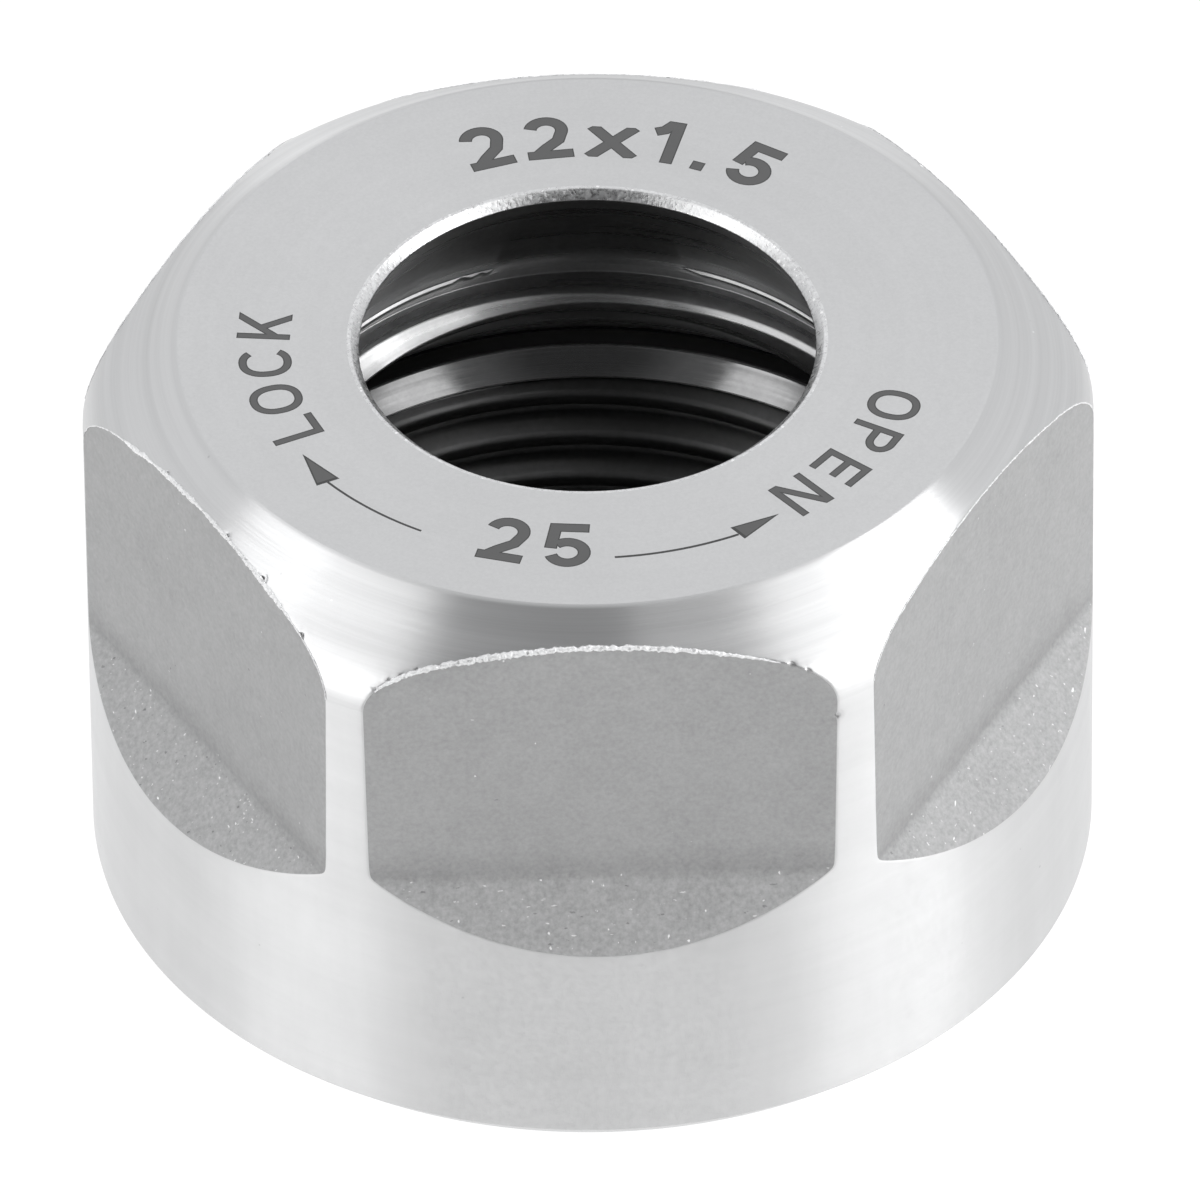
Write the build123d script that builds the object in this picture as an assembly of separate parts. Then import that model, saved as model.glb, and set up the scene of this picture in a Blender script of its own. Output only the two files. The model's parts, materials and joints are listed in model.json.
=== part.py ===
from build123d import *
import os
from math import radians, tan

# Collet nut. It screws onto a spindle nose and presses a spring collet into the spindle's taper.
# Turned from one bar of steel, with six spanner flats milled from the front.
# The axis is Z, the rear face, where the thread starts, lies at Z = 0, and the front face looks up.
# Lengths are in millimetres and angles in degrees.

# Outside
height = 17.5
outer_diameter = 28.0
shoulder_width = 2.6  # radial width of the cone round the front face
shoulder_angle = 34.8  # fall of that cone below the front face
shoulder_blend = 1.9  # radius between the cone and the cylinder
rear_chamfer = 0.7

# Spanner flats
flat_count = 6
across_flats = 24.9  # at the foot of the flats, for a 25 mm spanner
flat_draft = 0.42  # lean of each flat, closer to the axis at the front
flat_length = 9.15  # from the front face down to the crease
first_flat_lift = 0.4  # the flat that faces -Y was milled shorter than the rest
runout_angle = 47.6  # fall of the run-out below the crease
crease_radius = 0.4
edge_break = 0.15  # radius of the edge round each flat and its run-out

# Mouth and collet seat, from the front face inwards
mouth_diameter = 12.6
mouth_chamfer = 0.25
seat_half_angle = 30.0
seat_diameter = 17.2  # large end of the seat, clear of a 17 mm collet head
seat_land = 0.2

# Extraction ring, which pulls the collet out as the nut is unscrewed
groove_diameter = 18.0
groove_width = 0.6
ring_bore_diameter = 15.7
ring_land = 0.5
ring_back_angle = 45.0  # slope of the ring's rear side
pass_diameter = 17.2  # eccentric pass that lets the collet head tilt in behind the ring
pass_offset = 0.9
pass_direction = -72.0  # where the pass lies, counted from +X

# Thread, M22 x 1.5, as a plain bore of its minor diameter
thread_major_diameter = 22.0
thread_pitch = 1.5
thread_entry = 0.25  # how far the entry cone opens past the major diameter, on the radius
relief_clearance = 0.2  # how far the relief lies outside the thread, on the radius
relief_width = 1.3

overrun = 2.0  # how far cutting shapes reach past the surface that they cut


def turned_blank():
    """The outside as it leaves the lathe: rear chamfer, cylinder, blended shoulder cone, front face."""
    radius = outer_diameter / 2
    front_radius = radius - shoulder_width
    shoulder_foot = height - shoulder_width * tan(radians(shoulder_angle))
    outline = Polyline(
        (0, 0),
        (radius - rear_chamfer, 0),
        (radius, rear_chamfer),
        (radius, shoulder_foot),
        (front_radius, height),
        (0, height),
        close=True,
    )
    section = make_face(outline)
    corner = section.vertices().sort_by_distance((radius, shoulder_foot, 0))[0]
    return revolve(Plane.XZ * fillet(corner, shoulder_blend), Axis.Z)


def flat_cutter(crease_height):
    """What one pass of the mill removes at +X: a leaning flat that ends in a sloped run-out."""
    foot = across_flats / 2
    reach = outer_diameter / 2 + overrun
    top = height + overrun
    outline = Polyline(
        (foot, crease_height),
        (foot - (top - crease_height) * tan(radians(flat_draft)), top),
        (reach, top),
        (reach, crease_height - (reach - foot) * tan(radians(runout_angle))),
        close=True,
    )
    section = make_face(outline)
    crease = section.vertices().sort_by_distance((foot, crease_height, 0))[0]
    return extrude(Plane.XZ * fillet(crease, crease_radius), outer_diameter / 2, both=True)


def bore_heights():
    """Levels inside the bore, worked out from the front face down."""
    seat_top = height - mouth_chamfer
    seat_foot = seat_top - (seat_diameter - mouth_diameter) / 2 / tan(radians(seat_half_angle))
    groove_top = seat_foot - seat_land
    ring_top = groove_top - groove_width
    ring_back = ring_top - ring_land
    relief_radius = thread_major_diameter / 2 + relief_clearance
    back_fall = (relief_radius - ring_bore_diameter / 2) * tan(radians(ring_back_angle))
    relief_top = ring_back - back_fall
    thread_top = relief_top - relief_width
    return seat_top, seat_foot, groove_top, ring_top, ring_back, relief_top, thread_top


def bore_core():
    """Everything turned out of the middle, as one solid of revolution."""
    seat_top, seat_foot, groove_top, ring_top, ring_back, relief_top, thread_top = bore_heights()
    minor_radius = (thread_major_diameter - 1.0825 * thread_pitch) / 2
    entry_radius = thread_major_diameter / 2 + thread_entry
    relief_radius = thread_major_diameter / 2 + relief_clearance
    mouth_radius = mouth_diameter / 2
    outline = Polyline(
        (0, -overrun),
        (entry_radius + overrun, -overrun),
        (minor_radius, entry_radius - minor_radius),
        (minor_radius, thread_top),
        (relief_radius, thread_top),
        (relief_radius, relief_top),
        (ring_bore_diameter / 2, ring_back),
        (ring_bore_diameter / 2, ring_top),
        (groove_diameter / 2, ring_top),
        (groove_diameter / 2, groove_top),
        (seat_diameter / 2, groove_top),
        (seat_diameter / 2, seat_foot),
        (mouth_radius, seat_top),
        (mouth_radius + mouth_chamfer + overrun, height + overrun),
        (0, height + overrun),
        close=True,
    )
    return revolve(Plane.XZ * make_face(outline), Axis.Z)


def collet_pass():
    """Eccentric counterbore through the ring, up to the middle of the groove."""
    _, _, groove_top, ring_top, _, _, thread_top = bore_heights()
    top = (groove_top + ring_top) / 2
    depth = top - thread_top
    centre = Vector(pass_offset, 0, thread_top).rotate(Axis.Z, pass_direction)
    upwards = (Align.CENTER, Align.CENTER, Align.MIN)
    return Pos(centre) * Cylinder(pass_diameter / 2, depth, align=upwards)


def milled_blank():
    """The turned blank with its flats, and with the edge round each flat taken off a little."""
    blank = turned_blank()
    crease_height = height - flat_length
    for index in range(flat_count):
        lift = first_flat_lift if index == 0 else 0
        turn = index * 360 / flat_count - 90
        blank -= Rot(0, 0, turn) * flat_cutter(crease_height + lift)
    # A flat cuts the shoulder cone in a hyperbola, and the rounding runs on from there round the whole flat.
    arcs = blank.edges().filter_by(GeomType.HYPERBOLA)
    return fillet(arcs, edge_break) if arcs else blank


def collet_nut():
    return milled_blank() - bore_core() - collet_pass()


os.makedirs("parts", exist_ok=True)
export_step(collet_nut(), "parts/collet_nut.step")
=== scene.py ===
import bmesh
import bpy
import json
import math
import numpy as np
from mathutils import Matrix, Vector, noise
from mathutils.geometry import delaunay_2d_cdt

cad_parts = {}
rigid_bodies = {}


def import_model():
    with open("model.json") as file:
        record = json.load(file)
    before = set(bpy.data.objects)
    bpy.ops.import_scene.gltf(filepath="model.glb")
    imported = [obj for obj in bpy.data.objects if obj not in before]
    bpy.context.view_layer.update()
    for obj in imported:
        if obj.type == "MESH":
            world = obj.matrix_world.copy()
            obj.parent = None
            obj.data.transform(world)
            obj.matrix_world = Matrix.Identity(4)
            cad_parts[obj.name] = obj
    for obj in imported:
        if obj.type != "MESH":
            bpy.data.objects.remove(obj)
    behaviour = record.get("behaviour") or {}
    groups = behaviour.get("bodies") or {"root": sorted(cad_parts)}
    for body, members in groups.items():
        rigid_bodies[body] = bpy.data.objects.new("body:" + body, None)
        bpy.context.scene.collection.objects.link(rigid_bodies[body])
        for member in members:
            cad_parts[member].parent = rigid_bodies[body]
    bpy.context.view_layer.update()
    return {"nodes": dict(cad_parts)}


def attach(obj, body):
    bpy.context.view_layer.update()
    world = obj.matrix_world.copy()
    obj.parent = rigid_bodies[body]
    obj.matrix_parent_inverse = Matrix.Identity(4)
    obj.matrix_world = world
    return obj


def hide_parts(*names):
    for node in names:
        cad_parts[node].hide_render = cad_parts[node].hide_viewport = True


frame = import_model()
print("frame loaded:", ", ".join(frame["nodes"]))

# Shapes are drawn in millimetres and brought to metres once, when their mesh is finished.
mm = 0.001
ringPoints = 360  # points on every ring where two surfaces of the nut meet
ringAngles = np.radians(np.arange(ringPoints) * 360 / ringPoints)


# Node helpers

def addNode(tree, kind, inputs=None, **settings):
    # inputs go by the socket's name or number
    node = tree.nodes.new(kind)
    for name, value in settings.items():
        setattr(node, name, value)
    for key, source in (inputs or {}).items():
        plug(tree, source, node.inputs[key])
    return node


def plug(tree, source, socket):
    # source is a socket or a node to link, or a plain value
    if isinstance(source, bpy.types.Node):
        source = source.outputs[0]
    if isinstance(source, bpy.types.NodeSocket):
        tree.links.new(source, socket)
    else:
        socket.default_value = source


def calc(tree, operation, *sources):
    return addNode(tree, "ShaderNodeMath", dict(enumerate(sources)), operation=operation).outputs[0]


def plus(tree, first, second):
    return calc(tree, "ADD", first, second)


def minus(tree, first, second):
    return calc(tree, "SUBTRACT", first, second)


def times(tree, first, second):
    return calc(tree, "MULTIPLY", first, second)


def swing(tree, level, amount):
    # a noise made to swing round nought
    return times(tree, minus(tree, level, 0.5), amount)


def remap(tree, value, fromLow, fromHigh, toLow=0.0, toHigh=1.0):
    inputs = dict(enumerate((value, fromLow, fromHigh, toLow, toHigh)))
    return addNode(tree, "ShaderNodeMapRange", inputs).outputs[0]


def noiseOf(tree, vector, scale, detail, roughness):
    inputs = dict(Vector=vector, Scale=scale, Detail=detail, Roughness=roughness)
    return addNode(tree, "ShaderNodeTexNoise", inputs).outputs["Fac"]


def addObject(name, data):
    item = bpy.data.objects.new(name, data)
    bpy.context.scene.collection.objects.link(item)
    return item


# Finishes that several materials share

def newGroup(name, outputs, **inputs):
    # a shader group that takes a vector and numbers and puts out numbers
    group = bpy.data.node_groups.new(name, "ShaderNodeTree")
    group.interface.new_socket("vector", in_out="INPUT", socket_type="NodeSocketVector")
    for key, value in inputs.items():
        socket = group.interface.new_socket(key, in_out="INPUT", socket_type="NodeSocketFloat")
        socket.default_value = value
    for key in outputs:
        group.interface.new_socket(key, in_out="OUTPUT", socket_type="NodeSocketFloat")
    given = addNode(group, "NodeGroupInput").outputs
    return group, given, addNode(group, "NodeGroupOutput").inputs


def grainGroup():
    # fine grain of ground or milled steel, with soft cloudy patches
    group, given, out = newGroup("steelGrain", ("tone", "height"), grainSize=9000.0, grain=0.2, patches=0.1)
    fine = noiseOf(group, given["vector"], given["grainSize"], 3.0, 0.65)
    cloud = noiseOf(group, given["vector"], 420.0, 3.0, 0.55)
    both = plus(group, swing(group, fine, given["grain"]), swing(group, cloud, given["patches"]))
    plug(group, plus(group, both, 1.0), out["tone"])
    plug(group, fine, out["height"])
    return group


def latheGroup():
    # rings left by the turning tool: they run round the axis, spaced along the radius or the height
    group, given, out = newGroup("latheRings", ("height", "tone"), alongRadius=1.0, alongHeight=0.0,
                                 spacing=9000.0, streaks=0.3)
    x, y, z = addNode(group, "ShaderNodeSeparateXYZ", {0: given["vector"]}).outputs
    radius = calc(group, "SQRT", plus(group, times(group, x, x), times(group, y, y)))
    across = plus(group, times(group, radius, given["alongRadius"]), times(group, z, given["alongHeight"]))
    layers = []
    # a little of the position, so that no ring is the same all the way round
    for share, drift in ((1.0, 90.0), (0.18, 40.0)):
        along = times(group, across, times(group, given["spacing"], share))
        spot = addNode(group, "ShaderNodeCombineXYZ",
                       {0: along, 1: times(group, x, drift), 2: times(group, y, drift)})
        layers.append(noiseOf(group, spot, 1.0, 2.0, 0.6))
    rings, bands = layers
    plug(group, rings, out["height"])
    both = plus(group, swing(group, rings, 0.5), minus(group, bands, 0.5))
    plug(group, plus(group, times(group, both, given["streaks"]), 1.0), out["tone"])
    return group


def speckGroup():
    # scattered specks or, where the vector is stretched, short fine scratches
    group, given, out = newGroup("specks", ("speck",), size=4000.0, share=0.2, radius=0.2, ragged=0.1)
    cells = addNode(group, "ShaderNodeTexVoronoi", dict(Vector=given["vector"], Scale=given["size"])).outputs
    red, green, blue = addNode(group, "ShaderNodeSeparateColor", {0: cells["Color"]}).outputs
    chosen = calc(group, "LESS_THAN", red, given["share"])
    rough = noiseOf(group, given["vector"], times(group, given["size"], 4.0), 1.0, 0.5)
    reach = times(group, given["radius"], plus(group, green, 0.5))
    inside = minus(group, reach, plus(group, cells["Distance"], swing(group, rough, given["ragged"])))
    plug(group, times(group, remap(group, inside, 0.0, 0.06), chosen), out["speck"])
    return group


grain = grainGroup()
lathe = latheGroup()
specks = speckGroup()
print("shared finishes ready")


def newMaterial(name, metallic=1.0, turned=0.0):
    # turned is how far the tool marks round the axis spread a reflection across themselves
    material = bpy.data.materials.new(name)
    material.use_nodes = True
    tree = material.node_tree
    shader = tree.nodes["Principled BSDF"]
    for key, value in (("Metallic", metallic), ("Anisotropic", turned), ("Anisotropic Rotation", 0.25)):
        shader.inputs[key].default_value = value
    return material, tree, shader, addNode(tree, "ShaderNodeTexCoord").outputs["Object"]


def useGroup(tree, group, vector, **values):
    return addNode(tree, "ShaderNodeGroup", dict(vector=vector, **values), node_tree=group).outputs


def stretched(tree, vector, scale, turned=(0.0, 0.0, 0.0)):
    # squeezes a pattern's space, so that its specks become long
    return addNode(tree, "ShaderNodeMapping", dict(Vector=vector, Rotation=turned, Scale=scale))


def addTones(tree, tone, *changes):
    # each change is a mask and how much it lightens or darkens
    for mask, amount in changes:
        tone = plus(tree, tone, times(tree, mask, amount))
    return tone


def gloss(tree, pattern, low, high):
    # a roughness that follows a pattern, whose noise seldom leaves 0.3 to 0.7
    return remap(tree, pattern["height"], 0.3, 0.7, low, high)


def finishSteel(tree, shader, tone, roughness, pattern, level, strength, distance=0.00002):
    # a grey times a tone near 1, the roughness, and the pattern's bump
    colour = addNode(tree, "ShaderNodeVectorMath", {0: (level * 0.992, level * 0.995, level), "Scale": tone},
                     operation="SCALE")
    relief = addNode(tree, "ShaderNodeBump",
                     dict(Strength=strength, Distance=distance, Height=pattern["height"]))
    for source, name in ((colour, "Base Color"), (roughness, "Roughness"), (relief, "Normal")):
        plug(tree, source, shader.inputs[name])


def satinFaceSteel():
    material, tree, shader, place = newMaterial("satinFace", turned=0.3)
    fine = useGroup(tree, grain, place, grainSize=11000.0, grain=0.20, patches=0.05)
    rings = useGroup(tree, lathe, place, alongRadius=1.0, alongHeight=0.0, spacing=14000.0, streaks=0.05)
    tone = times(tree, fine["tone"], rings["tone"])
    finishSteel(tree, shader, tone, gloss(tree, fine, 0.34, 0.43), rings, level=0.66, strength=0.10)
    return material


def turnedShoulderSteel():
    material, tree, shader, place = newMaterial("turnedShoulder", turned=1.0)
    rings = useGroup(tree, lathe, place, alongRadius=1.0, alongHeight=-0.6, spacing=13000.0, streaks=0.28)
    pits = useGroup(tree, specks, place, size=2600.0, share=0.10, radius=0.10, ragged=0.05)
    longSpace = stretched(tree, place, (1.0, 1.0, 0.25), (0.5, 0.2, 0.4))
    nicks = useGroup(tree, specks, longSpace, size=2200.0, share=0.07, radius=0.07, ragged=0.04)
    tone = addTones(tree, rings["tone"], (pits["speck"], 0.4), (nicks["speck"], -0.20))
    finishSteel(tree, shader, tone, gloss(tree, rings, 0.28, 0.36), rings, level=0.68, strength=0.12)
    return material


def polishedBarrelSteel():
    material, tree, shader, place = newMaterial("polishedBarrel", turned=0.9)
    rings = useGroup(tree, lathe, place, alongRadius=0.0, alongHeight=1.0, spacing=5200.0, streaks=0.08)
    fine = useGroup(tree, grain, place, grainSize=5000.0, grain=0.06, patches=0.10)
    smears = noiseOf(tree, stretched(tree, place, (1.0, 1.0, 0.10)), 900.0, 3.0, 0.6)
    smears = remap(tree, smears, 0.35, 0.65, -1.0, 1.0)
    longSpace = stretched(tree, place, (1.0, 1.0, 0.2), (0.3, 0.1, 0.2))
    nicks = useGroup(tree, specks, longSpace, size=1500.0, share=0.09, radius=0.06, ragged=0.04)
    pits = useGroup(tree, specks, place, size=1800.0, share=0.08, radius=0.08, ragged=0.05)
    tone = times(tree, rings["tone"], fine["tone"])
    tone = addTones(tree, tone, (smears, 0.012), (nicks["speck"], -0.14), (pits["speck"], -0.28))
    finishSteel(tree, shader, tone, gloss(tree, fine, 0.35, 0.42), rings, level=0.69, strength=0.10)
    return material


def milledSteel():
    # the flats and, below their crease, the rougher run-outs
    flat = dict(level=0.370, metallic=0.20, grain=0.50, sparks=0.012)
    runout = dict(level=0.432, metallic=0.25, grain=0.80, sparks=0.36)
    # crease is the painted shade at the crease: how dark, and the rises where it starts, is deepest and ends
    crease = dict(shade=0.125, top=1.00, deepest=0.08, foot=-0.22)
    material, tree, shader, place = newMaterial("milledSteel")
    rise = addNode(tree, "ShaderNodeAttribute", attribute_name="rise").outputs["Fac"]

    def fade(key):
        return remap(tree, rise, -0.14, 0.06, runout[key], flat[key])

    fine = useGroup(tree, grain, place, grainSize=7000.0, grain=fade("grain"), patches=0.16)
    mottle = remap(tree, noiseOf(tree, place, 2300.0, 3.0, 0.6), 0.3, 0.7, -1.0, 1.0)
    # painted shade: a darker band round the crease, mostly on the flat above it, deepest just above the
    # crease
    shade = times(tree, remap(tree, rise, crease["top"], crease["deepest"]),
                  remap(tree, rise, crease["foot"], crease["deepest"]))
    tone = addTones(tree, fine["tone"], (mottle, 0.04), (shade, -crease["shade"]))
    # torn chips: two sets of bright ones that lie differently, lighter in colour as painted glints, and dark
    # pits
    for squeeze, lean, size, radius, amount in (
        ((1.0, 0.22, 0.8), (0.4, 0.0, 0.7), 4800.0, 0.11, 1.0),
        ((0.35, 1.0, 0.8), (0.2, 0.9, 0.2), 8000.0, 0.15, 0.7),
        ((0.4, 1.0, 0.8), (0.2, 0.5, 0.3), 5200.0, 0.14, -0.35),
    ):
        chips = useGroup(tree, specks, stretched(tree, place, squeeze, lean), size=size,
                         share=fade("sparks"), radius=radius, ragged=0.55)
        tone = addTones(tree, tone, (chips["speck"], amount))
    tone = times(tree, tone, fade("level"))
    plug(tree, fade("metallic"), shader.inputs["Metallic"])
    finishSteel(tree, shader, tone, gloss(tree, fine, 0.56, 0.68), fine, level=1.0, strength=0.12,
                distance=0.00003)
    return material


def boredSteel(name, level, roughness, streaks, turned=0.6):
    material, tree, shader, place = newMaterial(name, turned=turned)
    rings = useGroup(tree, lathe, place, alongRadius=0.6, alongHeight=1.0, spacing=6500.0, streaks=streaks)
    fine = useGroup(tree, grain, place, grainSize=5000.0, grain=0.30, patches=0.35)
    tone = times(tree, rings["tone"], fine["tone"])
    finishSteel(tree, shader, tone, gloss(tree, rings, roughness - 0.05, roughness + 0.06), rings,
                level=level, strength=0.08)
    return material


def grainySteel(name, fine, dots, dotTone, roughness, level, strength, distance, metallic=0.3, turned=0.0):
    material, tree, shader, place = newMaterial(name, metallic, turned)
    fine = useGroup(tree, grain, place, **fine)
    tone = addTones(tree, fine["tone"], (useGroup(tree, specks, place, **dots)["speck"], dotTone))
    finishSteel(tree, shader, tone, gloss(tree, fine, *roughness), fine, level, strength, distance)
    return material


def markInk(name, level):
    # the burnt surface that the laser leaves
    material, tree, shader, place = newMaterial(name, metallic=0.3)
    fine = useGroup(tree, grain, place, grainSize=9000.0, grain=0.35, patches=0.15)
    finishSteel(tree, shader, fine["tone"], gloss(tree, fine, 0.55, 0.75), fine, level, strength=0.2)
    return material


# the mouth's chamfer, scratched, with light specks in its colour as painted sparkle
rimSteel = grainySteel(
    "rimSteel", fine=dict(grainSize=9000.0, grain=0.8, patches=0.3),
    dots=dict(size=6500.0, share=0.30, radius=0.26, ragged=0.25), dotTone=0.6, roughness=(0.22, 0.42),
    level=0.74, strength=0.4, distance=0.00003, metallic=1.0, turned=0.4,
)
burrSteel = grainySteel(
    "burrSteel", fine=dict(grainSize=12000.0, grain=0.8, patches=0.3),
    dots=dict(size=7500.0, share=0.42, radius=0.32, ragged=0.40), dotTone=-0.32, roughness=(0.25, 0.50),
    level=0.86, strength=0.6, distance=0.00004,
)
# what nut_body wears, in the order of its slots
materials = dict(
    face=satinFaceSteel(),
    shoulder=turnedShoulderSteel(),
    barrel=polishedBarrelSteel(),
    milled=milledSteel(),
    rim=rimSteel,
    # the steel grows darker deeper in the bore: the relief darker than the bore above it, the thread darkest
    bore=boredSteel("boreSteel", 0.52, 0.30, 0.08),
    relief=boredSteel("reliefSteel", 0.34, 0.14, 0.12, 0.1),
    thread=boredSteel("threadSteel", 0.23, 0.38, 0.12),
    mark=markInk("markInk", 0.12),
    markEdge=markInk("markEdgeInk", 0.065),
)
slotOf = {name: index for index, name in enumerate(materials)}
print("steel materials ready:", len(materials) + 1)


# Outside of the nut: a turned outline, cut by six leaning flats

outside = dict(
    height=17.5, radius=14.0, faceRadius=11.4, shoulderAngle=34.8, shoulderBlend=1.9, shoulderDepth=2.8,
    rearChamfer=0.7, rimRounding=0.55, rearRounding=0.08, inset=0.25,
    flatFoot=12.45, draft=0.42, crease=8.35, firstCrease=8.75, runoutAngle=47.6, creaseSoftness=0.085,
    edgeSoftness=0.020, edgeWaver=0.012, seed=4,
    rowStep=0.45, loopStep=0.11, knockStep=0.035, edgeGap=0.03, rowGap=0.21, leastGap=0.028,
    beside=(-0.19, -0.09, -0.032, 0.032, 0.09, 0.19),
    creaseRows=(-0.25, -0.15, -0.08, -0.03, 0.0, 0.03, 0.08, 0.15, 0.25, 0.5, 0.8, 1.2),
)
flatMiddles = range(30, 360, 60)  # the angle that each flat faces
perDegree = math.radians(1) * outside["radius"]  # millimetres round the barrel for a degree
# small knocks on the edges: flat, share of its half edge from the top of the arc, side, size and depth
knocks = (
    (4, 0.285, 1, 0.10, 0.045),
    (4, 0.310, 1, 0.06, 0.03),
    (4, 0.405, 1, 0.11, 0.06),
    (4, 0.270, -1, 0.06, 0.05),
    (4, 0.292, -1, 0.05, 0.05),
    (4, 0.312, -1, 0.06, 0.04),
    (4, 0.335, -1, 0.05, 0.04),
    (3, 0.10, -1, 0.12, 0.07),
    (3, 0.06, 1, 0.09, 0.06),
    (3, 0.16, 1, 0.14, 0.09),
    (3, 0.27, 1, 0.10, 0.08),
    (0, 0.12, 1, 0.12, 0.08),
    (2, 0.21, -1, 0.10, 0.06),
)


def softCorners(points, radii, steps):
    # rounds the inner corners of a line in the plane, always with the same number of points
    line = [tuple(points[0])]
    for before, corner, after, radius in zip(points, points[1:], points[2:], radii):
        corner = Vector(corner)
        back = Vector(before) - corner
        onward = Vector(after) - corner
        half = back.angle(onward, math.pi) / 2
        if radius <= 0 or min(back.length, onward.length) < 1e-3 or half > math.pi / 2 - 1e-3:
            line += [tuple(corner)] * (steps + 1)
            continue
        reach = min(radius / math.tan(half), 0.45 * back.length, 0.45 * onward.length)
        radius = reach * math.tan(half)
        centre = corner + (back.normalized() + onward.normalized()).normalized() * radius / math.sin(half)
        spoke = corner + back.normalized() * reach - centre
        sweep = math.pi - 2 * half
        if back.x * onward.y - back.y * onward.x > 0:
            sweep = -sweep
        for step in range(steps + 1):
            line.append(tuple(centre + Matrix.Rotation(sweep * step / steps, 2) @ spoke))
    line.append(tuple(points[-1]))
    return line


def divided(line, step):
    # adds points so that no piece of the line is longer than step
    points = [line[0]]
    for start, end in zip(line, line[1:]):
        length = math.dist(start, end)
        if length < 1e-6:
            continue
        count = max(1, math.ceil(length / step))
        for part in range(1, count + 1):
            points.append(tuple(a + (b - a) * part / count for a, b in zip(start, end)))
    return np.array(points)


def lengthsAlong(line):
    return np.concatenate(([0.0], np.cumsum(np.hypot(*np.diff(line, axis=0).T))))


def turnedOutline():
    height, radius, faceRadius = outside["height"], outside["radius"], outside["faceRadius"]
    shoulderFoot = height - (radius - faceRadius) * math.tan(math.radians(outside["shoulderAngle"]))
    rearRadius = radius - outside["rearChamfer"]
    corners = (
        (faceRadius - outside["inset"], height),
        (faceRadius, height),
        (radius, shoulderFoot),
        (radius, outside["rearChamfer"]),
        (rearRadius, 0.0),
        (rearRadius - outside["inset"], 0.0),
    )
    radii = (outside["rimRounding"], outside["shoulderBlend"], outside["rearRounding"],
             outside["rearRounding"])
    return divided(softCorners(corners, radii, 8), outside["rowStep"])


outline = turnedOutline()
outlineAlong = lengthsAlong(outline)
outlineLength = outlineAlong[-1]


def turnedAt(along):
    return np.interp(along, outlineAlong, outline[:, 0]), np.interp(along, outlineAlong, outline[:, 1])


def rolledUp(radius, angles, level):
    return np.column_stack((radius * np.cos(angles), radius * np.sin(angles), level))


def creaseOf(degrees):
    # the flat that faces -Y is the shorter one
    return np.where(np.floor((degrees % 360) / 60) == 4, outside["firstCrease"], outside["crease"])


def flatDistance(level, crease):
    # how far the milled surface lies from the axis, square to the flat
    flat = outside["flatFoot"] - (level - crease) * math.tan(math.radians(outside["draft"]))
    runout = outside["flatFoot"] + (crease - level) / math.tan(math.radians(outside["runoutAngle"]))
    return (flat + runout + np.sqrt((flat - runout) ** 2 + outside["creaseSoftness"] ** 2)) / 2


def outsideCut(degrees, along):
    # radius of the turned surface and of the milled one, and the level
    turned, level = turnedAt(along)
    fromMiddle = np.radians((degrees % 60) - 30)
    return turned, flatDistance(level, creaseOf(degrees)) / np.cos(fromMiddle), level


def waver(points, scale, seed):
    shift = Vector((seed * 17.3, seed * 5.1, seed * 9.7))
    return np.array([noise.noise(Vector(point) * scale + shift) for point in points])


def evenly(points, step):
    # the same line with points a step apart
    lengths = lengthsAlong(points)
    wanted = np.linspace(0, lengths[-1], int(round(lengths[-1] / step)) + 1)
    return np.column_stack([np.interp(wanted, lengths, points[:, axis]) for axis in (0, 1)])


def nearestGap(points, others):
    gaps = np.empty(len(points))
    for start in range(0, len(points), 500):
        block = points[start:start + 500]
        gaps[start:start + 500] = np.sqrt(((block[:, None] - others[None]) ** 2).sum(2)).min(1)
    return gaps


def halfEdge(index):
    # half the edge of a flat, unrolled, from the top of its arc down to the lowest point of its run-out
    along = np.linspace(0, outlineLength, 9000)
    turned, level = turnedAt(along)
    distance = flatDistance(level, float(creaseOf(flatMiddles[index])))
    inside = (distance < turned) & (level > 2.0)
    angle = np.degrees(np.arccos(np.minimum(1, distance[inside] / turned[inside])))
    return np.column_stack((angle * perDegree, along[inside]))


def ringSides(loops):
    # points of several closed outlines in one list, with the sides that join them
    points, sides = [], []
    for loop in loops:
        first = len(points)
        points += [tuple(point) for point in loop]
        sides += [(first + i, first + (i + 1) % len(loop)) for i in range(len(loop))]
    return np.array(points), sides


def knockPlaces():
    places = []
    for index, share, side, size, depth in knocks:
        edge = evenly(halfEdge(index), 0.05)
        across, down = edge[int(share * (len(edge) - 1))]
        places.append((flatMiddles[index] * perDegree + side * across, down, size, depth))
    return places


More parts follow.
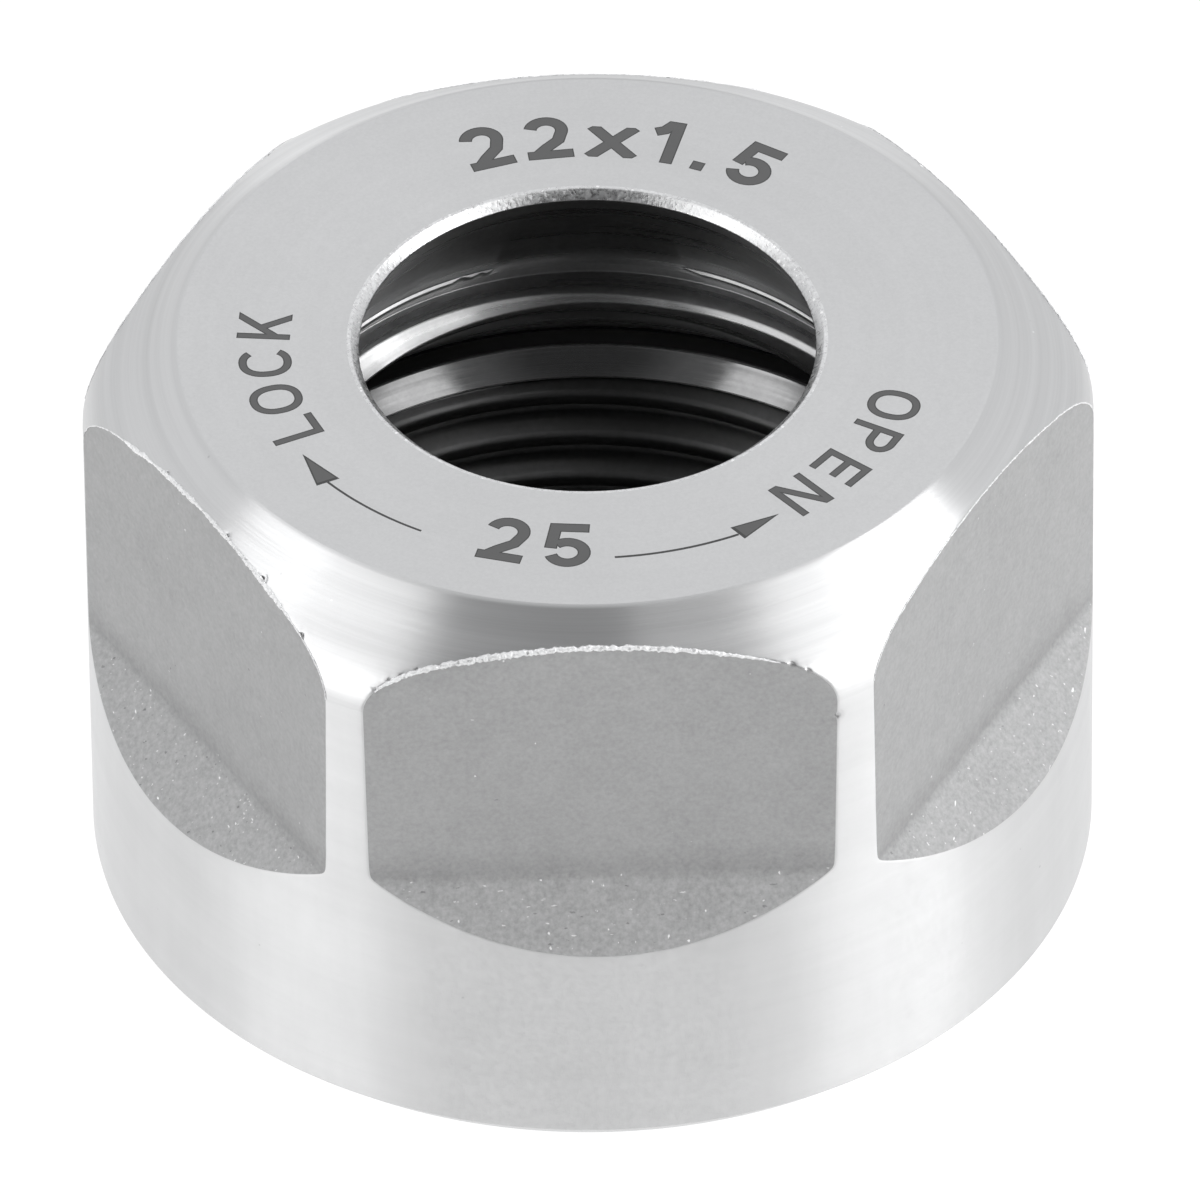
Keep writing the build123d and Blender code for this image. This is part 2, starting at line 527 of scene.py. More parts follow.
def outsideSheet():
    # the outside is unrolled, filled with triangles along the flats' edges, and rolled up again
    rims, near, creaseRows = [], [], []
    for index, middle in enumerate(flatMiddles):
        right = halfEdge(index)
        whole = np.vstack((right, (right * (-1, 1))[::-1][1:-1], right[:1]))
        rim = evenly(whole, outside["loopStep"])[:-1] + (middle * perDegree, 0)
        rims.append(rim)
        onward = np.roll(rim, -1, axis=0) - np.roll(rim, 1, axis=0)
        across = np.column_stack((onward[:, 1], -onward[:, 0])) / np.hypot(*onward.T)[:, None]
        near += [rim + across * offset for offset in outside["beside"]]
        levels = creaseOf(middle) + np.array(outside["creaseRows"])
        angles = np.arange(middle - 27, middle + 28)
        for along in np.interp(-levels, -outline[:, 1], outlineAlong):
            creaseRows.append(np.column_stack((angles * perDegree, np.full(len(angles), along))))
    fixed, sides = ringSides(rims)
    for across, down, size, depth in knockPlaces():
        spread = np.arange(-2 * size, 2 * size, outside["knockStep"])
        sideways, downwards = np.meshgrid(spread, spread)
        near.append(np.column_stack((sideways.ravel() + across, downwards.ravel() + down)))
    near = np.vstack(near)
    gridAngles = np.arange(ringPoints + 1) * 360 / ringPoints * perDegree
    grid = np.array([(angle, along) for along in outlineAlong for angle in gridAngles])
    loose = np.vstack([grid] + creaseRows)
    inner = np.vstack((near[nearestGap(near, fixed) > outside["edgeGap"]],
                       loose[nearestGap(loose, fixed) > outside["rowGap"]]))
    cells = np.round(inner / outside["leastGap"]).astype(int)
    kept = np.unique(cells, axis=0, return_index=True)[1]
    spots = [Vector((across, -along)) for across, along in np.vstack((fixed, inner[np.sort(kept)]))]
    corners, edges, faces = delaunay_2d_cdt(spots, sides, [], 0, 1e-7)[:3]
    return np.array([(c.x / perDegree, -c.y) for c in corners]), [tuple(face) for face in faces]


def outsideMesh():
    unrolled, faces = outsideSheet()
    degrees, along = unrolled.T
    turned, cut, level = outsideCut(degrees, along)
    rise = level - creaseOf(degrees)
    angles = np.radians(degrees)
    onBarrel = rolledUp(turned, angles, level)
    shake = outside["edgeWaver"] * waver(onBarrel, 2.2, outside["seed"])
    shake += 0.5 * outside["edgeWaver"] * waver(onBarrel, 7.0, outside["seed"] + 1)
    difference = turned - cut + shake
    radius = turned - (difference + np.sqrt(difference ** 2 + outside["edgeSoftness"] ** 2)) / 2
    ends = (along < 0.2) | (along > outlineLength - 0.2)
    radius = np.where(ends, turned, radius)
    for across, down, size, depth in knockPlaces():
        gap = np.hypot(degrees * perDegree - across, along - down)
        radius -= depth * np.exp(-(gap / size) ** 2) * (1 + 0.5 * np.sin(gap * 40))
    points = rolledUp(radius, angles, level)
    middles = unrolled[np.array(faces)].mean(1)
    turned, cut, level = outsideCut(*middles.T)
    onShoulder = level > outside["height"] - outside["shoulderDepth"]
    slots = np.where(onShoulder, slotOf["shoulder"], slotOf["barrel"])
    slots = np.where(cut < turned, slotOf["milled"], slots)
    slots = np.where(middles[:, 1] < 0.2, slotOf["face"], slots)
    return points, faces, slots, rise


# Marks on the front face, cut out of it as flat outlines

turn = -1.145  # the photo's angles, seen on a nut whose first flat faces -Y
# word, letter angles, baseline radius, letter height, line width, True where the tops point outwards
words = (
    ("22x1.5", (108.4, 96.8, 85.0, 75.2, 67.4, 57.8), 7.90, 1.84, 0.37, True),
    ("LOCK", (204.9, 196.1, 185.9, 175.5), 8.20, 1.48, 0.235, True),
    ("OPEN", (340.3, 330.7, 320.7, 310.6), 8.20, 1.48, 0.235, True),
    ("25", (255.0, 266.2), 9.78, 1.84, 0.36, False),
)
# arc radius, width, start and end angle, then the arrowhead's base corners and tip as radius and angle
arrows = (
    (9.37, 0.075, 240.6, 220.2, (9.70, 219.7), (9.03, 220.8), (9.23, 211.6)),
    (9.39, 0.085, 274.2, 295.8, (9.63, 296.2), (9.03, 295.3), (9.21, 304.4)),
)
darkRim = 0.035  # the darker outline of each mark


def arc(x, y, wide, tall, start, end, steps=22, power=1.0):
    points = []
    for degrees in np.linspace(start, end, steps + 1):
        cos, sin = math.cos(math.radians(degrees)), math.sin(math.radians(degrees))
        points.append((x + wide * math.copysign(abs(cos) ** power, cos),
                       y + tall * math.copysign(abs(sin) ** power, sin)))
    return points


def letterStrokes(letter, a):
    # width and middle lines of a letter 1 high; a is half the line's width
    if letter == "L":
        return 0.62, [[(a, 1), (a, a), (0.62, a)]]
    if letter == "O":
        return 0.84, [arc(0.42, 0.5, 0.42 - a, 0.5 - a, 0, 360, 44, 0.88)]
    if letter == "C":
        return 0.80, [arc(0.42, 0.5, 0.42 - a, 0.5 - a, 38, 322, 36, 0.88)]
    if letter == "K":
        arm = [(a, 0.26), (0.84 - a, 1.12)]
        leg = [(0.30, 0.62), (0.84 - 1.4 * a, -0.12)]
        return 0.78, [[(a, 0), (a, 1)], arm, leg]
    if letter == "P":
        bowl = arc(0.38, 0.71, 0.32 - a, 0.29 - a, 90, -90, 14)
        return 0.70, [[(a, 0), (a, 1)], [(a, 1 - a), (0.36, 1 - a)] + bowl + [(a, 0.42 + a)]]
    if letter == "E":
        return 0.66, [[(0.66, 1 - a), (a, 1 - a), (a, a), (0.66, a)], [(a, 0.52), (0.62, 0.52)]]
    if letter == "N":
        slant = [(a * 0.2, 1.16), (0.78 - a * 0.2, -0.16)]
        return 0.78, [[(a, 0), (a, 1)], [(0.78 - a, 0), (0.78 - a, 1)], slant]
    if letter == "x":
        return 0.76, [[(a * 0.5, 0), (0.76 - a * 0.5, 0.73)], [(a * 0.5, 0.73), (0.76 - a * 0.5, 0)]]
    if letter == "1":
        return 0.42, [[(0.42 - a, 0), (0.42 - a, 1)], [(0.0, 0.70), (0.13, 0.77), (0.42 - 1.4 * a, 1.02)]]
    if letter == "2":
        sweep = arc(0.34, 0.68, 0.34 - a, 0.32 - a, 168, -22, 20)
        return 0.70, [sweep + [(0.50, 0.43), (0.30, 0.26), (a * 1.1, a * 0.6)], [(0.0, a), (0.70, a)]]
    if letter == "5":
        bowl = arc(0.35, 0.335, 0.35 - a, 0.335 - a, 134, -163, 26)
        return 0.70, [[(0.65, 1 - a), (a * 1.5, 1 - a), (a * 0.95, 0.42)], bowl]
    return 1.8 * a, [[(0.9 * a, 0), (0.9 * a, 2 * a)]]


def clipped(line, low, high):
    # cuts a closed outline off below low and above high
    for limit, sign in ((low, 1), (high, -1)):
        kept = []
        for (ax, ay), (bx, by) in zip(line, line[1:] + line[:1]):
            if sign * (ay - limit) >= 0:
                kept.append((ax, ay))
            if (ay - limit) * (by - limit) < 0:
                share = (limit - ay) / (by - ay)
                kept.append((ax + share * (bx - ax), limit))
        line = kept
    return line


def strokeShape(points, half, inset):
    # both sides of a line with square ends, or two rings where the line is closed
    points = [Vector(point) for point in points]
    closed = (points[0] - points[-1]).length < 1e-6
    if closed:
        points = points[:-1]
    left, right = [], []
    count = len(points)
    for i, point in enumerate(points):
        before = points[i - 1] if closed or i else point
        after = points[(i + 1) % count] if closed or i < count - 1 else point
        arrive = (point - before).normalized() if before is not point else (after - point).normalized()
        leave = (after - point).normalized() if after is not point else arrive
        middle = (arrive + leave).normalized()
        stretch = min(2.0, 1 / max(0.2, middle.dot(leave)))
        place = point
        if not closed and i == 0:
            place = point + leave * inset
        elif not closed and i == count - 1:
            place = point - arrive * inset
        across = Vector((-middle.y, middle.x)) * (half - inset) * stretch
        left.append(tuple(place + across))
        right.append(tuple(place - across))
    return [left, right] if closed else [left + right[::-1]]


def polar(radius, degrees):
    angle = math.radians(degrees + turn)
    return np.array((radius * math.cos(angle), radius * math.sin(angle)))


def markShapes(inset):
    # every mark as outlines in the plane of the face, drawn in by inset on all sides
    shapes = []
    for word, angles, baseline, height, width, outwards in words:
        half, rim = width / 2 / height, inset / height
        for letter, degrees in zip(word, angles):
            radial = polar(1, degrees)
            up = radial if outwards else -radial
            right = np.array((up[1], -up[0]))
            wide, strokes = letterStrokes(letter, half)
            top = 0.73 if letter == "x" else 1.0
            for stroke in strokes:
                loops = strokeShape(stroke, half, rim)
                if len(loops) == 1:
                    loops = [clipped(loops[0], rim, top - rim)]
                points, sides = ringSides(loops)
                across = (points[:, :1] - wide / 2) * height
                shapes.append((radial * baseline + across * right + points[:, 1:] * height * up, sides))
    for radius, width, start, end, baseA, baseB, tip in arrows:
        head = np.array([polar(*baseA), polar(*baseB), polar(*tip)])
        middle = head.mean(0)
        shapes.append(ringSides([middle + (head - middle) * (1 - 6 * inset)]))
        if inset == 0:
            sweep = np.linspace(start, end, 30)
            outer = [polar(radius + width / 2, degrees) for degrees in sweep]
            inner = [polar(radius - width / 2, degrees) for degrees in sweep[::-1]]
            shapes.append(ringSides([outer + inner]))
    return shapes


def insideShape(spots, points, sides):
    # counts how often a line from each spot crosses the outline
    crossed = np.zeros(len(spots), int)
    for first, second in sides:
        (ax, ay), (bx, by) = points[first], points[second]
        if ay == by:
            continue
        level = (spots[:, 1] > min(ay, by)) & (spots[:, 1] <= max(ay, by))
        crossed += level & (ax + (spots[:, 1] - ay) / (by - ay) * (bx - ax) > spots[:, 0])
    return crossed % 2 == 1


mouth = dict(faceRadius=6.55, throat=6.30, chamfer=0.25, rim=0.10)


def ring(radius):
    return [Vector((radius * math.cos(a), radius * math.sin(a))) for a in ringAngles]


def frontFaceMesh():
    outerRadius = outside["faceRadius"] - outside["inset"]
    innerRadius = mouth["faceRadius"] + mouth["rim"]
    rings = [ring(r) for r in (outerRadius, outerRadius - 0.06, innerRadius + 0.06, innerRadius)]
    corners = [corner for line in rings for corner in line]
    marks = dict(markEdge=markShapes(0), mark=markShapes(darkRim))
    edges = []
    for shape, sides in marks["markEdge"] + marks["mark"]:
        edges += [(len(corners) + first, len(corners) + second) for first, second in sides]
        corners += [Vector(point) for point in shape]
    found, joined, faces = delaunay_2d_cdt(corners, edges, [], 0, 1e-5)[:3]
    points = np.array([(c.x, c.y, outside["height"]) for c in found])
    middles = points[np.array(faces)].mean(1)[:, :2]
    slots = np.full(len(faces), slotOf["face"])
    for name, shapes in marks.items():
        for shape, sides in shapes:
            slots[insideShape(middles, shape, sides)] = slotOf[name]
    kept = np.hypot(*middles.T) >= innerRadius + 0.01
    return points, [tuple(face) for face, keep in zip(faces, kept) if keep], slots[kept]


# Bore above the thread: mouth, collet seat, groove, extraction ring with its pass, relief

bore = dict(
    seatFoot=(8.6, 13.266), groove=9.0, grooveTop=13.066, ringTop=12.466, passTop=12.766,
    ringBore=7.85, ringBack=11.966, relief=11.2, reliefTop=8.616, reliefFoot=7.98, slopeFoot=(10.55, 7.346),
    passRadius=8.6, passOffset=0.9, passAngle=-72.0,
    # angle and size: the lip under the seat is broken at the back, the ring's chamfer wider on the left
    lip=((0, 0.07), (67, 0.07), (71, 0.0), (106, 0.0), (108, 0.06), (109, 0.02), (111, 0.07), (113, 0.01),
         (115, 0.07), (360, 0.07)),
    ringChamfer=((0, 0.15), (60, 0.15), (90, 0.18), (112, 0.32), (135, 0.45), (200, 0.45), (300, 0.15),
                 (360, 0.15)),
    rounding=(0.08, 0.06, 0.02, 0.04, 0.04, 0.06, 0.0, 0.0, 0.05, 0.10, 0.10, 0.12, 0.30, 0.20, 0.02),
)


def boreCorners(angle):
    # the bore's outline in one direction
    lean = bore["passOffset"] * math.cos(angle - math.radians(bore["passAngle"]))
    passWall = lean + math.sqrt(lean ** 2 - bore["passOffset"] ** 2 + bore["passRadius"] ** 2)
    grooveWall = max(bore["groove"], passWall)
    ringWall = max(bore["ringBore"], passWall)
    lip, chamfer = (np.interp(math.degrees(angle), *zip(*bore[key])) for key in ("lip", "ringChamfer"))
    seatRadius, seatLevel = bore["seatFoot"]
    slopeRadius, slopeLevel = bore["slopeFoot"]
    return (
        (mouth["faceRadius"] + mouth["rim"], outside["height"]),
        (mouth["faceRadius"], outside["height"]),
        (mouth["throat"], outside["height"] - mouth["chamfer"]),
        (seatRadius, seatLevel),
        (seatRadius - lip, seatLevel - lip),
        (seatRadius - lip, bore["grooveTop"]),
        (bore["groove"], bore["grooveTop"]),
        (bore["groove"], bore["passTop"]),
        (grooveWall, bore["passTop"]),
        (grooveWall, bore["ringTop"]),
        (min(ringWall + chamfer, grooveWall), bore["ringTop"]),
        (ringWall, bore["ringTop"] - chamfer),
        (ringWall, bore["ringBack"] + bore["ringBore"] - ringWall),
        (bore["relief"], bore["reliefTop"]),
        (bore["relief"], bore["reliefFoot"]),
        (slopeRadius, slopeLevel),
        (slopeRadius - 0.05, slopeLevel - 0.01),
    )


def boreMesh():
    rows = np.array([softCorners(boreCorners(angle), bore["rounding"], 3) for angle in ringAngles])
    levels = rows.shape[1]
    points = rolledUp(rows[..., 0].ravel(), np.repeat(ringAngles, levels), rows[..., 1].ravel())
    faces = []
    for column in range(ringPoints):
        here = column * levels
        after = (column + 1) % ringPoints * levels
        faces += [(here + i, after + i, after + i + 1, here + i + 1) for i in range(levels - 1)]
    middle = points[np.array(faces), 2].mean(1)
    slots = np.where(middle > outside["height"] - mouth["chamfer"], slotOf["rim"], slotOf["bore"])
    slots = np.where(middle < bore["reliefTop"] + 0.3, slotOf["relief"], slots)
    return points, faces, slots, points[levels - 1::levels]


# Thread, a grid wound round the axis by Geometry Nodes

thread = dict(
    pitch=1.5, majorRadius=11.0, minorRadius=10.188, length=7.316, entryRadius=11.25, firstCrest=0.42,
    crestWear=0.22, rowsPerTurn=16, pointsPerRing=ringPoints, steel=materials["thread"],
)


def newTree(name, values):
    # a tree with an input for each value, and the inputs' identifiers
    kinds = ((float, "Float"), (int, "Int"), (bpy.types.Mesh, "Geometry"), (bpy.types.Material, "Material"))
    tree = bpy.data.node_groups.new(name, "GeometryNodeTree")
    identifiers = {}
    for key, value in values.items():
        kind = "NodeSocket" + next(kind for known, kind in kinds if isinstance(value, known))
        identifiers[key] = tree.interface.new_socket(key, in_out="INPUT", socket_type=kind).identifier
    tree.interface.new_socket("geometry", in_out="OUTPUT", socket_type="NodeSocketGeometry")
    return tree, identifiers, addNode(tree, "NodeGroupInput").outputs


def finishTree(tree, geometry, steel):
    smooth = addNode(tree, "GeometryNodeSetShadeSmooth", dict(Geometry=geometry))
    real = addNode(tree, "GeometryNodeRealizeInstances", dict(Geometry=smooth))
    paint = addNode(tree, "GeometryNodeSetMaterial", dict(Geometry=real, Material=steel))
    addNode(tree, "NodeGroupOutput", {0: paint})


def threadTree(values):
    tree, identifiers, given = newTree("woundThread", values)
    pitch, length = given["pitch"], given["length"]
    rowStep = calc(tree, "DIVIDE", pitch, given["rowsPerTurn"])
    start = minus(tree, given["firstCrest"], times(tree, pitch, 2.0))
    rows = calc(tree, "CEIL", calc(tree, "DIVIDE", minus(tree, length, start), rowStep))
    grid = addNode(tree, "GeometryNodeMeshGrid", {
        "Size X": 1.0, "Size Y": 1.0, "Vertices X": plus(tree, given["pointsPerRing"], 1.0),
        "Vertices Y": plus(tree, rows, 1.0),
    })
    position = addNode(tree, "GeometryNodeInputPosition")
    x, y, z = addNode(tree, "ShaderNodeSeparateXYZ", {0: position}).outputs
    turnShare = plus(tree, x, 0.5)
    row = calc(tree, "ROUND", times(tree, plus(tree, y, 0.5), rows))
    climb = times(tree, turnShare, pitch)
    wound = plus(tree, plus(tree, times(tree, row, rowStep), climb), start)
    level = calc(tree, "MINIMUM", calc(tree, "MAXIMUM", wound, 0.0), length)
    # sixteenths of the pitch from the middle of the nearest crest: 2 on the crest, 5 on the flank
    turns = calc(tree, "DIVIDE", minus(tree, minus(tree, level, climb), given["firstCrest"]), pitch)
    away = calc(tree, "ABSOLUTE", minus(tree, turns, calc(tree, "ROUND", turns)))
    flank = calc(tree, "DIVIDE", minus(tree, times(tree, away, 16.0), 2.0), 5.0)
    depth = calc(tree, "MINIMUM", calc(tree, "SMOOTH_MAX", flank, 0.0, given["crestWear"]), 1.0)
    tall = minus(tree, given["majorRadius"], given["minorRadius"])
    wall = plus(tree, given["minorRadius"], times(tree, depth, tall))
    radius = calc(tree, "MAXIMUM", wall, minus(tree, given["entryRadius"], level))
    angle = times(tree, turnShare, 2 * math.pi)
    across, onward = (times(tree, radius, calc(tree, part, angle)) for part in ("COSINE", "SINE"))
    spot = addNode(tree, "ShaderNodeCombineXYZ", {0: across, 1: onward, 2: level})
    move = addNode(tree, "GeometryNodeSetPosition", dict(Geometry=grid, Position=spot))
    weld = addNode(tree, "GeometryNodeMergeByDistance", dict(Geometry=move, Distance=0.002))
    finishTree(tree, addNode(tree, "GeometryNodeFlipFaces", dict(Mesh=weld)), given["steel"])
    return tree, identifiers


def bakedFrom(mesh, tree, identifiers, values):
    # runs a tree on a mesh and gives back the plain result
    holder = addObject("bake", mesh)
    modifier = holder.modifiers.new("nodes", "NODES")
    modifier.node_group = tree
    for key, value in values.items():
        if key != "edges":
            modifier[identifiers[key]] = value
    depsgraph = bpy.context.evaluated_depsgraph_get()
    result = bpy.data.meshes.new_from_object(holder.evaluated_get(depsgraph))
    holder.modifiers.remove(modifier)
    bpy.data.objects.remove(holder)
    return result


def threadMesh():
    mesh = bakedFrom(bpy.data.meshes.new("threadSeed"), *threadTree(thread), thread)
    return np.array([vertex.co[:] for vertex in mesh.vertices]), [tuple(f.vertices) for f in mesh.polygons]


def ringAt(points, level):
    # the points of a mesh at one level, in order round the axis
    there = points[np.abs(points[:, 2] - level) < 0.0005]
    order = np.argsort(np.arctan2(there[:, 1], there[:, 0]) % (2 * math.pi - 1e-4))
    return there[order]


def band(first, second):
    # faces between two rings with the same number of points
    count = len(first)
    faces = [(i, (i + 1) % count, count + (i + 1) % count, count + i) for i in range(count)]
    return np.vstack((first, second)), faces


def nutMesh():
    *boreParts, reliefRing = boreMesh()
    threadPoints, threadFaces = threadMesh()
    topRing, entryRing = (ringAt(threadPoints, level) for level in (thread["length"], 0.0))
    rearRadius = outside["radius"] - outside["rearChamfer"] - outside["inset"]
    rearRing = rolledUp(rearRadius, ringAngles, 0 * ringAngles)
    parts = {
        "outside": outsideMesh(),
        "front face": frontFaceMesh(),
        "bore": boreParts,
        "thread": (threadPoints, threadFaces, slotOf["thread"]),
        "above the thread": (*band(reliefRing, topRing), slotOf["thread"]),
        "rear face": (*band(entryRing, rearRing), slotOf["barrel"]),
    }
    allPoints, allFaces, allSlots, allRise = [], [], [], []
    for name, (points, faces, slots, *rise) in parts.items():
        print(name + ":", len(points), "points")
        shift = sum(len(block) for block in allPoints)
        allPoints.append(points)
        allFaces += [tuple(corner + shift for corner in face) for face in faces]
        allSlots += list(np.broadcast_to(slots, len(faces)))
        # only the outside has a crease, and the rest counts as far above it
        allRise += rise or [np.full(len(points), 5.0)]
    mesh = bpy.data.meshes.new("nut_body")
    mesh.from_pydata(np.vstack(allPoints).tolist(), [], allFaces)
    for material in materials.values():
        mesh.materials.append(material)
    mesh.polygons.foreach_set("material_index", np.array(allSlots, dtype=np.int32))
    mesh.attributes.new("rise", "FLOAT", "POINT").data.foreach_set("value", np.concatenate(allRise))
    work = bmesh.new()
    work.from_mesh(mesh)
    bmesh.ops.remove_doubles(work, verts=work.verts, dist=0.001)
    bmesh.ops.dissolve_degenerate(work, edges=work.edges, dist=0.0005)
    openEdges = sum(len(edge.link_faces) != 2 for edge in work.edges)
    print("nut body:", len(work.verts), "points,", openEdges, "open edges")
    for face in work.faces:
        face.smooth = True
    work.to_mesh(mesh)
    work.free()
    toMetres(mesh)
    return mesh


def toMetres(mesh):
    mesh.transform(Matrix.Scale(mm, 4))
    mesh.update()


nutBody = addObject("nut_body", nutMesh())
print("nut body done")


# Burrs that the mill left along the flats, swept along their edges by Geometry Nodes

burrs = dict(
    step=0.03, sides=8, lumpSize=3.5, lumpAmount=1.3, waver=0.05, roughSize=9.0, roughAmount=2.3, seed=11.0,
)
# flat, then shares of its arc from left to right with the burr's thickness there
burrRuns = (
    (4, ((0.070, 0.025), (0.11, 0.070), (0.30, 0.085), (0.62, 0.072), (0.78, 0.045), (0.84, 0.015))),
    (3, ((0.02, 0.012), (0.20, 0.020), (0.26, 0.075), (0.32, 0.025), (0.37, 0.070), (0.46, 0.060),
         (0.50, 0.020), (0.55, 0.068), (0.62, 0.040), (0.69, 0.075), (0.76, 0.062), (0.82, 0.022),
         (0.98, 0.018))),
    (5, ((0.03, 0.015), (0.50, 0.022), (0.97, 0.018))),
    (0, ((0.05, 0.030), (0.50, 0.012), (0.95, 0.020))),
    (1, ((0.05, 0.018), (0.60, 0.026), (0.95, 0.012))),
    (2, ((0.05, 0.015), (0.30, 0.028), (0.95, 0.014))),
)


def burrTree(values):
    tree, identifiers, given = newTree("sweptBurr", values)
    spot = addNode(tree, "GeometryNodeInputPosition")
    thickness = addNode(tree, "GeometryNodeInputNamedAttribute", dict(Name="thickness"), data_type="FLOAT")
    thickness = thickness.outputs["Attribute"]

    def noiseAt(scale, later):
        inputs = dict(Vector=spot, W=plus(tree, given["seed"], later), Scale=scale)
        return addNode(tree, "ShaderNodeTexNoise", inputs, noise_dimensions="4D").outputs

    def scaled(vector, scale):
        return addNode(tree, "ShaderNodeVectorMath", {0: vector, "Scale": scale}, operation="SCALE")

    line = addNode(tree, "GeometryNodeMeshToCurve", dict(Mesh=given["edges"]))
    even = addNode(tree, "GeometryNodeResampleCurve", dict(Curve=line, Length=given["step"]), mode="LENGTH")
    shake = noiseAt(given["lumpSize"], 0.0)["Color"]
    centred = addNode(tree, "ShaderNodeVectorMath", {0: shake, 1: (0.5, 0.5, 0.5)}, operation="SUBTRACT")
    offset = scaled(centred, given["waver"])
    move = addNode(tree, "GeometryNodeSetPosition", dict(Geometry=even, Offset=offset))
    ring = addNode(tree, "GeometryNodeCurvePrimitiveCircle", dict(Resolution=given["sides"], Radius=1.0),
                   mode="RADIUS")
    lumps = noiseAt(times(tree, given["lumpSize"], 1.4), 7.0)["Fac"]
    size = times(tree, thickness, plus(tree, swing(tree, lumps, given["lumpAmount"]), 1.0))
    sweep = addNode(tree, "GeometryNodeCurveToMesh",
                    {"Curve": move, "Profile Curve": ring, "Scale": size, "Fill Caps": True})
    torn = swing(tree, noiseAt(given["roughSize"], 3.0)["Fac"], given["roughAmount"])
    outwards = scaled(addNode(tree, "GeometryNodeInputNormal"), times(tree, torn, thickness))
    tear = addNode(tree, "GeometryNodeSetPosition", dict(Geometry=sweep, Offset=outwards))
    finishTree(tree, tear, given["steel"])
    return tree, identifiers


def burrEdges():
    # thin lines that lie on the flats' arcs, each point with its thickness
    points, sides, thickness = [], [], []
    for index, profile in burrRuns:
        half = halfEdge(index)
        top = half[half[:, 1] < half[np.argmax(half[:, 0]), 1] + 0.3]
        whole = evenly(np.vstack(((top * (-1, 1))[::-1], top[1:])), burrs["step"])
        shares = np.linspace(0, 1, len(whole))
        kept = (shares >= profile[0][0]) & (shares <= profile[-1][0])
        across, along = whole[kept].T
        radius, level = turnedAt(along)
        first = len(points)
        points += rolledUp(radius, np.radians(flatMiddles[index] + across / perDegree), level).tolist()
        sides += [(i, i + 1) for i in range(first, len(points) - 1)]
        thickness += list(np.interp(shares[kept], *zip(*profile)))
    mesh = bpy.data.meshes.new("burrEdges")
    mesh.from_pydata(points, sides, [])
    mesh.attributes.new("thickness", "FLOAT", "POINT").data.foreach_set("value", thickness)
    return mesh


def burrMesh():
    edges = burrEdges()
    values = dict(edges=edges, **burrs, steel=burrSteel)
    mesh = bakedFrom(edges, *burrTree(values), values)
    toMetres(mesh)
    print("edge burrs:", len(mesh.vertices), "points,", len(mesh.polygons), "faces")
    return mesh


edgeBurrs = addObject("edge_burrs", burrMesh())


# Camera, floor and light

camera = dict(lens=756.4, distance=702.3, elevation=40.317, roll=-0.617, target=(0.273, 0.0, 8.130))


def direction(azimuth, elevation):
    # azimuth is counted from the camera's side, positive to the camera's right
    azimuth, elevation = math.radians(azimuth), math.radians(elevation)
    return Vector((math.sin(azimuth) * math.cos(elevation), -math.cos(azimuth) * math.cos(elevation),
                   math.sin(elevation)))


def facing(azimuth, elevation, roll, distance, target):
    # where something that looks at the target stands; roll leans its top to its left, seen from the nut
    away = direction(azimuth, elevation)
    level = Vector((0, 0, 1)).cross(away).normalized()
    steep = away.cross(level)
    roll = math.radians(roll)
    right = level * math.cos(roll) + steep * math.sin(roll)
    up = steep * math.cos(roll) - level * math.sin(roll)
    pose = Matrix((right, up, away)).transposed().to_4x4()
    pose.translation = (Vector(target) + away * distance) * mm
    return pose


def addCamera():
    eye = addObject("camera", bpy.data.cameras.new("camera"))
    eye.data.lens = camera["lens"]
    eye.data.sensor_width = 36
    eye.data.clip_start = 0.01
    eye.data.clip_end = 50
    pose = facing(0, camera["elevation"], camera["roll"], camera["distance"], camera["target"])
    eye.matrix_world = Matrix.Rotation(math.radians(turn), 4, "Z") @ pose
    bpy.context.scene.camera = eye


def addFloor():
    # white paper, lit from below as on a light table, but dark where the nut stands on it: the glow stops
    # under the nut as a painted shadow
    paper = dict(size=6.0, colour=0.08, roughness=0.9, gloss=0.1, glow=1.0, shadedRadius=0.0130)
    work = bmesh.new()
    bmesh.ops.create_grid(work, x_segments=2, y_segments=2, size=paper["size"])
    mesh = bpy.data.meshes.new("floor")
    work.to_mesh(mesh)
    work.free()
    material, tree, shader, place = newMaterial("paleFloor", metallic=0.0)
    distance = addNode(tree, "ShaderNodeVectorMath", {0: place}, operation="LENGTH").outputs["Value"]
    # painted shadow: no glow inside the nut's rear radius
    lit = remap(tree, distance, paper["shadedRadius"], paper["shadedRadius"] + 0.0002)
    for source, name in (
        ((*[paper["colour"]] * 3, 1), "Base Color"),
        (paper["roughness"], "Roughness"),
        (paper["gloss"], "Specular IOR Level"),
        (lit, "Emission Color"),
        (paper["glow"], "Emission Strength"),
    ):
        plug(tree, source, shader.inputs[name])
    mesh.materials.append(material)
    floor = addObject("floor", mesh)


studio = dict(
    frontSky=0.185, backSky=0.90, skyStart=-0.55, skyEnd=0.42, dim=0.35, dimHeight=0.12,
    darkElevation=44, darkEdge=23, darkCore=12, darkest=0.30, distance=600.0, target=(0.0, 0.0, 10.0),
)
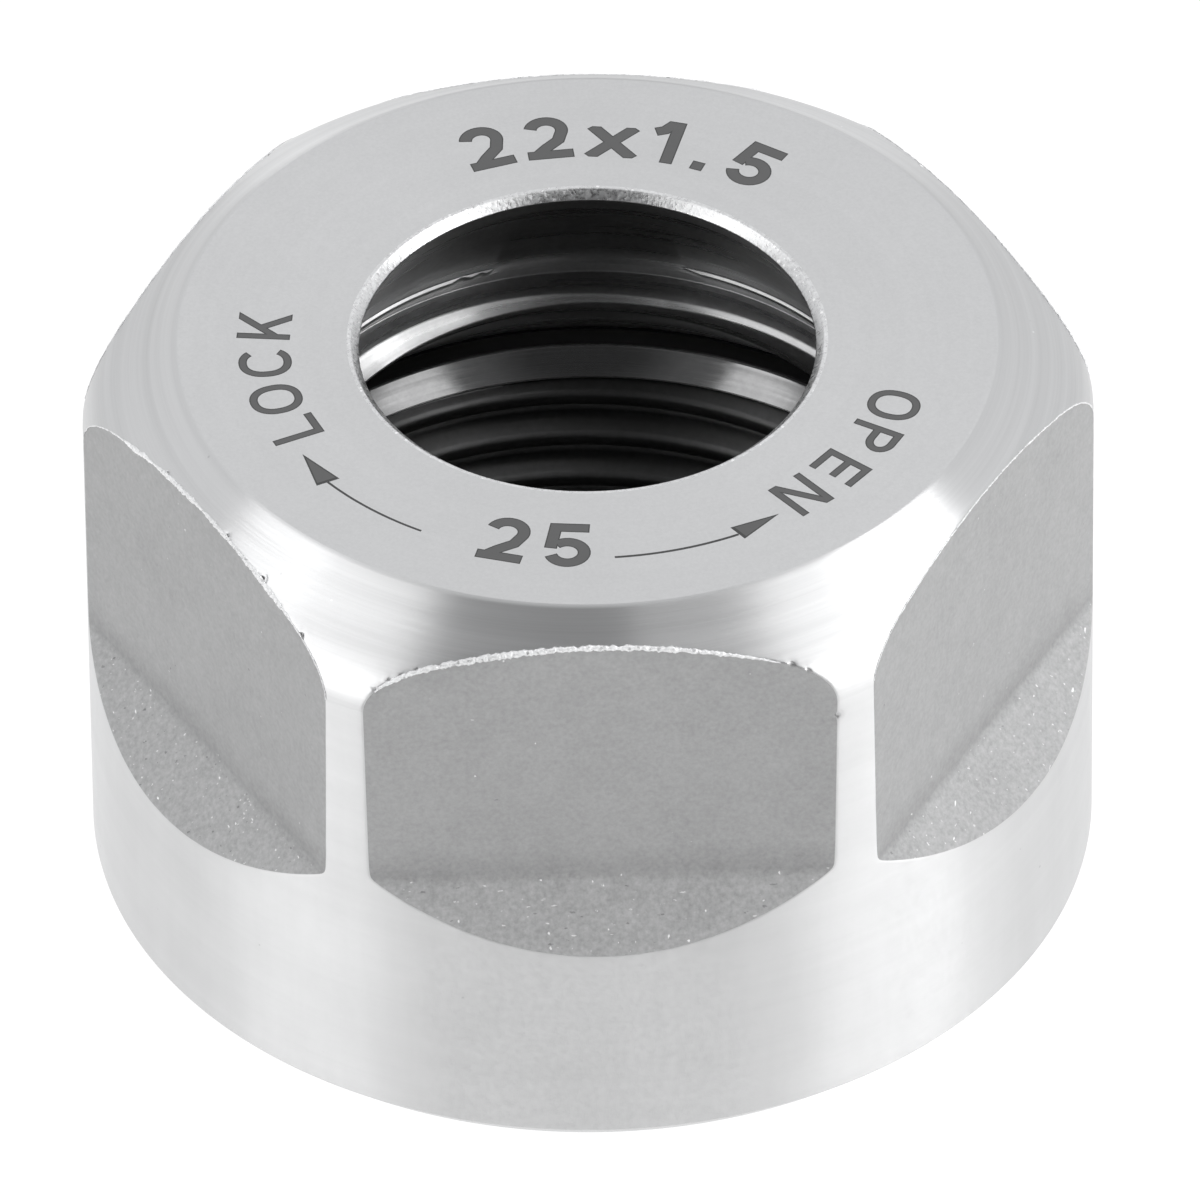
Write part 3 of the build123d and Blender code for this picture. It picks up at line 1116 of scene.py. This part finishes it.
# name, azimuth, elevation, roll, width, height, brightness
panels = (
    ("innerLeft", -58, 36, 15, 0.23, 0.62, 1.22),
    ("outerLeft", -88, 38, 38, 0.20, 0.66, 1.20),
    ("innerRight", 57, 36, -15, 0.25, 0.62, 1.42),
    ("outerRight", 88, 38, -38, 0.20, 0.66, 3.2),
    ("lowLeft", -60, 8, 0, 0.34, 0.16, 3.0),
    ("lowRight", 61, 8, 0, 0.36, 0.16, 3.9),
    ("lowFront", 0, 6, 0, 0.46, 0.12, 0.20),
    ("dimTop", 37, 67, -22, 0.17, 0.19, 0.80),
)


def addPanels():
    # soft boxes that face the nut
    for name, azimuth, elevation, roll, width, height, brightness in panels:
        light = bpy.data.lights.new(name, "AREA")
        light.shape = "RECTANGLE"
        light.size = width
        light.size_y = height
        light.energy = brightness * math.pi * width * height
        panel = addObject(name, light)
        panel.matrix_world = facing(azimuth, elevation, roll, studio["distance"], studio["target"])
        panel.visible_camera = False


def addSky():
    # a room that is darker above the camera than behind the nut
    world = bpy.data.worlds.new("studio")
    world.use_nodes = True
    tree = world.node_tree
    sight = addNode(tree, "ShaderNodeTexCoord").outputs["Generated"]
    x, y, z = addNode(tree, "ShaderNodeSeparateXYZ", {0: sight}).outputs
    level = remap(tree, y, studio["skyStart"], studio["skyEnd"], studio["frontSky"], studio["backSky"])
    level.node.interpolation_type = "SMOOTHSTEP"
    # the walls are dim just above the floor
    level = times(tree, level, remap(tree, z, 0.0, studio["dimHeight"], studio["dim"], 1.0))
    # and darkest round the camera
    middle = tuple(direction(0, studio["darkElevation"]))
    near = addNode(tree, "ShaderNodeVectorMath", {0: sight, 1: middle}, operation="DOT_PRODUCT")
    edge, core = (math.cos(math.radians(studio[key])) for key in ("darkEdge", "darkCore"))
    level = times(tree, level, remap(tree, near.outputs["Value"], edge, core, 1.0, studio["darkest"]))
    background = tree.nodes["Background"]
    background.inputs["Color"].default_value = (0.985, 0.99, 1, 1)
    plug(tree, level, background.inputs["Strength"])
    bpy.context.scene.world = world


addCamera()
addFloor()
addSky()
addPanels()
bpy.context.scene.view_settings.view_transform = "Standard"
print("camera, floor and light set")

for piece in (nutBody, edgeBurrs):
    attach(piece, "root")
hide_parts("collet_nut")
